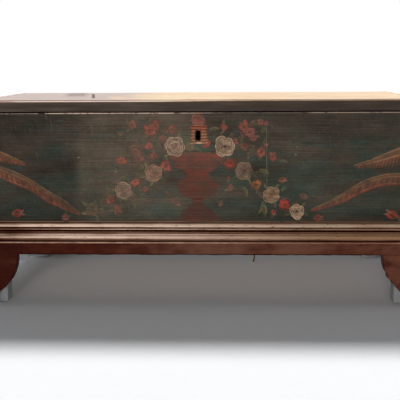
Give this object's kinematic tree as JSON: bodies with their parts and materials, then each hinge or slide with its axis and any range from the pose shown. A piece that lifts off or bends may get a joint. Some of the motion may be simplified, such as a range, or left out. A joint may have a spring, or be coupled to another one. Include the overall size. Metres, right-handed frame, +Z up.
{
  "type": "lift-lid blanket chest",
  "caption": "Lift-lid dovetailed pine chest with a waist moulding, plinth rails, curved bracket feet, an open till, an iron box lock and swinging side handles.",
  "frame": {"origin": "on the floor, under the middle of the chest's overall box", "axes": "+X to the right seen from the front, -Y out of the front, +Z up"},
  "size_m": [1.25, 0.6025, 0.5753],
  "materials": {
    "lid_paint": "worn dark brown paint on pine",
    "ground_paint": "worn brown-black paint on pine",
    "moulding_paint": "rubbed red-brown paint on pine",
    "base_paint": "red-brown paint on pine",
    "bare_pine": "bare oxidised pine",
    "wrought_iron": "dark forged iron"
  },
  "bodies": {
    "chest": {"back_board": "bare_pine", "base_rail_back": "base_paint", "base_rail_front": "base_paint", "base_rail_left": "base_paint", "base_rail_right": "base_paint", "bottom_nails": "wrought_iron", "bottom_plank_front": "bare_pine", "bottom_plank_middle": "bare_pine", "bottom_plank_rear": "bare_pine", "corner_block_front_left": "bare_pine", "corner_block_front_right": "bare_pine", "corner_block_rear_left": "bare_pine", "corner_block_rear_right": "bare_pine", "end_board_left": "ground_paint", "end_board_right": "ground_paint", "foot_back_left": "base_paint", "foot_back_right": "base_paint", "foot_end_front_left": "base_paint", "foot_end_front_right": "base_paint", "foot_end_rear_left": "base_paint", "foot_end_rear_right": "base_paint", "foot_front_left": "base_paint", "foot_front_right": "base_paint", "front_board": "ground_paint", "handle_nails": "wrought_iron", "handle_plate_left": "wrought_iron", "handle_plate_right": "wrought_iron", "hinge_pin_left": "wrought_iron", "hinge_pin_right": "wrought_iron", "hinge_plate_left": "wrought_iron", "hinge_plate_right": "wrought_iron", "lock_case": "wrought_iron", "lock_nails": "wrought_iron", "lower_moulding_front": "moulding_paint", "lower_moulding_left": "moulding_paint", "lower_moulding_right": "moulding_paint", "moulding_nails": "wrought_iron", "plate_nails": "wrought_iron", "stray_nail": "wrought_iron", "till_floor": "bare_pine", "till_wall": "bare_pine", "upper_moulding_front": "moulding_paint", "upper_moulding_left": "moulding_paint", "upper_moulding_right": "moulding_paint"},
    "lid": {"hasp_nails": "wrought_iron", "hinge_strap_left": "wrought_iron", "hinge_strap_right": "wrought_iron", "lid_cleat_left": "lid_paint", "lid_cleat_right": "lid_paint", "lid_nails": "wrought_iron", "lid_plank_front": "lid_paint", "lid_plank_middle": "lid_paint", "lid_plank_rear": "lid_paint", "lock_hasp": "wrought_iron", "strap_nails": "wrought_iron"},
    "bolt": {"lock_bolt": "wrought_iron"},
    "left_bail": {"handle_bail_left": "wrought_iron"},
    "right_bail": {"handle_bail_right": "wrought_iron"}
  },
  "joints": [
    {"name": "lid_hinge", "type": "hinge", "parent": "chest", "child": "lid", "pos_m": [0, 0.29475, 0.5388], "axis": [-1, 0, 0], "range_deg": [0, 105]},
    {"name": "bolt_slide", "type": "slide", "parent": "chest", "child": "bolt", "axis": [-1, 0, 0], "range_m": [0, 0.014]},
    {"name": "left_bail_swing", "type": "hinge", "parent": "chest", "child": "left_bail", "pos_m": [-0.609, 0, 0.41], "axis": [0, 1, 0], "range_deg": [0, 180]},
    {"name": "right_bail_swing", "type": "hinge", "parent": "chest", "child": "right_bail", "pos_m": [0.609, 0, 0.41], "axis": [0, -1, 0], "range_deg": [0, 180]}
  ]
}
